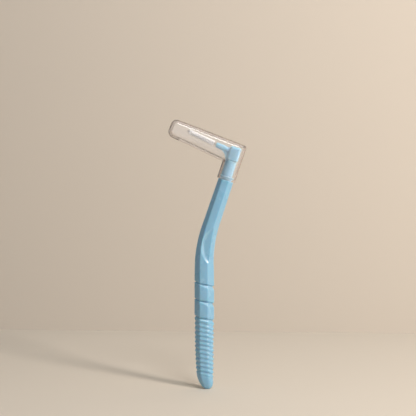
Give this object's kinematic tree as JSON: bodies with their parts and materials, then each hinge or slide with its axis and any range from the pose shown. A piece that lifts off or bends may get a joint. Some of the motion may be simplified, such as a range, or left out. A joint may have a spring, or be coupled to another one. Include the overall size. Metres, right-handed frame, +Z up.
{
  "type": "interdental brush",
  "caption": "L-shaped interdental brush: ribbed, bent plastic handle, twisted-wire filament brush set sideways in the head, and a slotted clear travel cap that slides off along the post.",
  "frame": {"origin": "centre of the small level land at the butt of the handle", "axes": "+Z up the grip, -X the way the brush points, the L of the handle and brush in the XZ plane"},
  "size_m": [0.0304, 0.0072, 0.1049],
  "materials": {
    "handle_blue": "satin",
    "clear_cap": "clear gloss",
    "wire": "bright drawn",
    "filaments": "translucent white"
  },
  "bodies": {
    "brush": {"handle": "handle_blue", "twisted_wire": "wire", "filament_fan_01": "filaments", "filament_fan_02": "filaments", "filament_fan_03": "filaments", "filament_fan_04": "filaments", "filament_fan_05": "filaments"},
    "cap": {"clear_cap": "clear_cap"}
  },
  "joints": [
    {"name": "cap_pull", "type": "slide", "parent": "brush", "child": "cap", "axis": [0.3173, 0, 0.9483], "range_m": [0, 0.018]}
  ]
}
